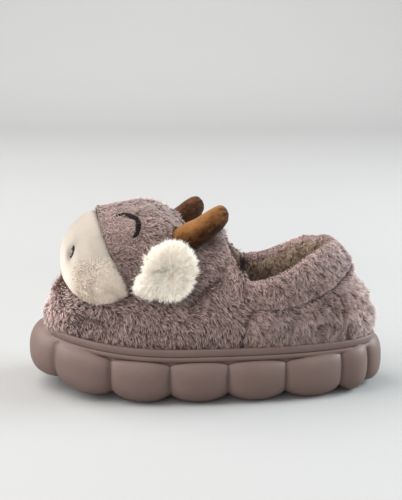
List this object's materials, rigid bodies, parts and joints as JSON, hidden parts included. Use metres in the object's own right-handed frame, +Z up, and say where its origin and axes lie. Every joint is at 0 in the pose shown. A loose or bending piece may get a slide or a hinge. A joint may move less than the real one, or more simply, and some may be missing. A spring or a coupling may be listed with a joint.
{
  "type": "animal slipper",
  "caption": "Left plush slipper with a sleeping calf's head, ears and horns on the toe, a padded collar and a thick foam sole with round lobes.",
  "frame": {"origin": "centre of the bounding box on the floor, under the middle of the sole", "axes": "+X to the toe, +Y to the outer side of this left shoe, +Z up"},
  "size_m": [0.2731, 0.1096, 0.1455],
  "materials": {
    "foam sole": "matt moulded foam",
    "mauve plush": "short pile",
    "fleece lining": "curly fleece",
    "cream plush": "short pile",
    "white ear plush": "long pile",
    "brown suede": "napped suede",
    "dark thread": "satin stitch"
  },
  "bodies": {
    "root": {"sole": "foam sole", "insole": "fleece lining", "upper": "mauve plush", "collar": "mauve plush", "face": "mauve plush", "muzzle": "cream plush", "ear_left": "white ear plush", "ear_right": "white ear plush", "horn_left": "brown suede", "horn_right": "brown suede", "eye_left": "dark thread", "eye_right": "dark thread"}
  },
  "joints": []
}
